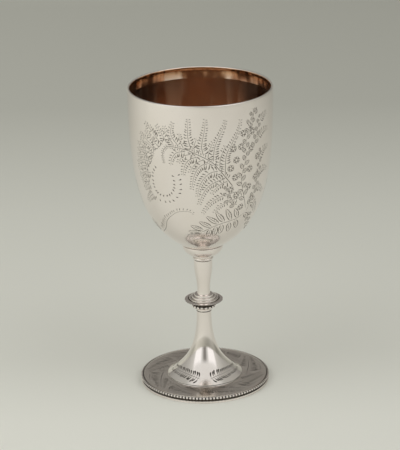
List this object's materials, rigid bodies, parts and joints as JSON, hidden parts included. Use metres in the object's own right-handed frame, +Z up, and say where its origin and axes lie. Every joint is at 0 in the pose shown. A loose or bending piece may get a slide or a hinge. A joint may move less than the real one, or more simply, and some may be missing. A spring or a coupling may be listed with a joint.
{
  "type": "chalice",
  "caption": "Tall silver cup with a gilt inside, on a slender stem with a stepped knop and a spreading foot with a beaded edge.",
  "frame": {"origin": "on the table, under the middle of the foot", "axes": "+Z up along the axis of the cup; the object is round, and its engraved oval faces roughly -Y"},
  "size_m": [0.0828, 0.0828, 0.18],
  "materials": {
    "silver": "polished silver",
    "engraved_silver": "polished silver with bright-cut engraving; the bowl is gilt inside",
    "rod_silver": "dull silver, not polished"
  },
  "bodies": {
    "root": {"foot_band": "silver", "foot_bead_ring": "silver", "foot_plate": "engraved_silver", "lower_stem": "silver", "knop_collar": "silver", "knop_bead_ring": "silver", "knop": "silver", "upper_stem": "silver", "neck_ring": "silver", "collar": "silver", "bowl_boss": "silver", "bowl": "engraved_silver", "tie_rod": "rod_silver", "washer": "rod_silver", "nut": "rod_silver"}
  },
  "joints": []
}
